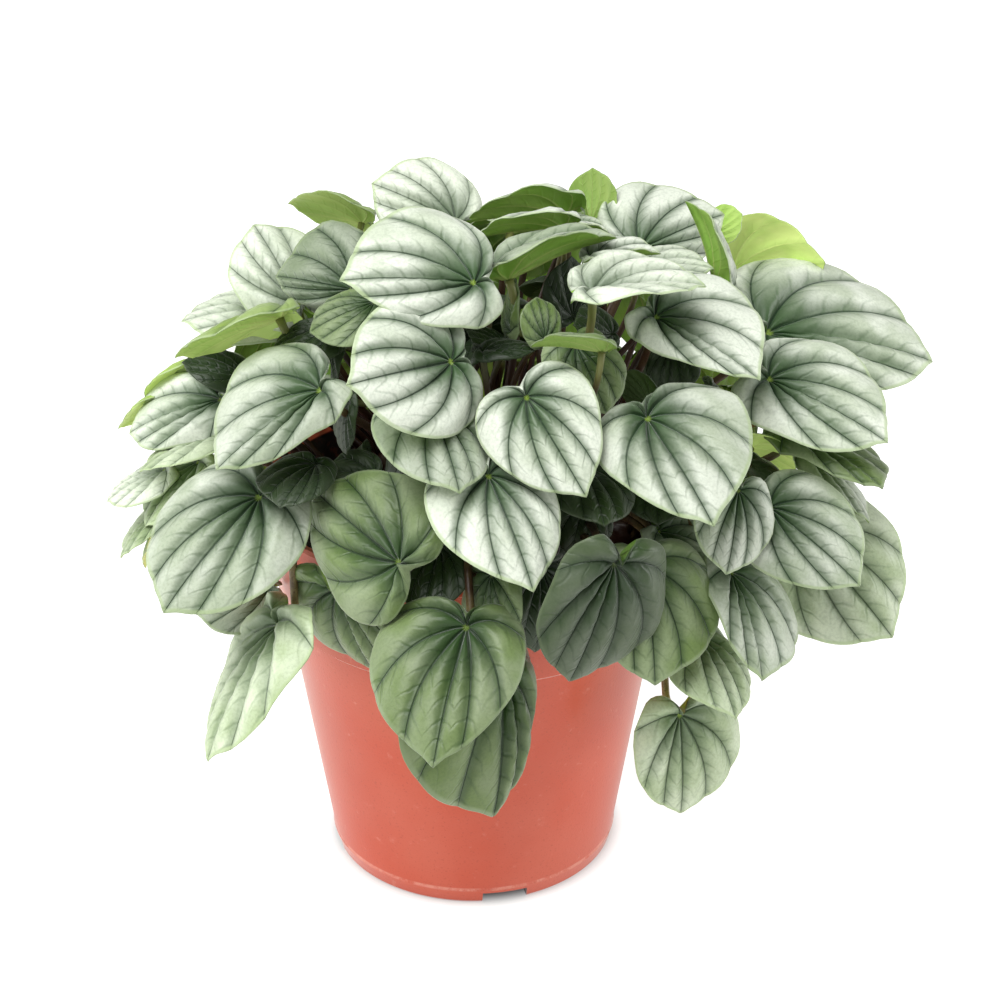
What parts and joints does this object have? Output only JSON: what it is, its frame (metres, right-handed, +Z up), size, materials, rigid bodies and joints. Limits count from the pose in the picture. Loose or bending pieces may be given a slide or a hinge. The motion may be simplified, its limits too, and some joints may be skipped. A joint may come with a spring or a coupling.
{
  "type": "potted plant",
  "caption": "Potted peperomia: a dense dome of silvery, ribbed, heart-shaped leaves on thin stalks in a tapered grower's pot.",
  "frame": {"origin": "on the floor under the middle of the whole plant's box; the pot's axis stands 12.0 mm to the left of it and 11.5 mm behind", "axes": "+Z up out of the pot, -Y towards the viewer of the picture, +X to the viewer's right"},
  "size_m": [0.2298, 0.1884, 0.201],
  "materials": {
    "pot": "satin moulded terracotta-coloured polypropylene",
    "soil": "rough moist peat",
    "foliage": "satin silvery grey-green leaf with dark sunken veins"
  },
  "bodies": {
    "root": {"pot": "pot", "soil": "soil", "plantlet_upper_left": "foliage", "plantlet_top": "foliage", "plantlet_upper_right": "foliage", "plantlet_right": "foliage", "plantlet_front_right": "foliage", "plantlet_front": "foliage", "plantlet_front_left": "foliage", "plantlet_left": "foliage", "plantlet_back_left": "foliage", "plantlet_back": "foliage", "plantlet_back_right": "foliage"}
  },
  "joints": []
}
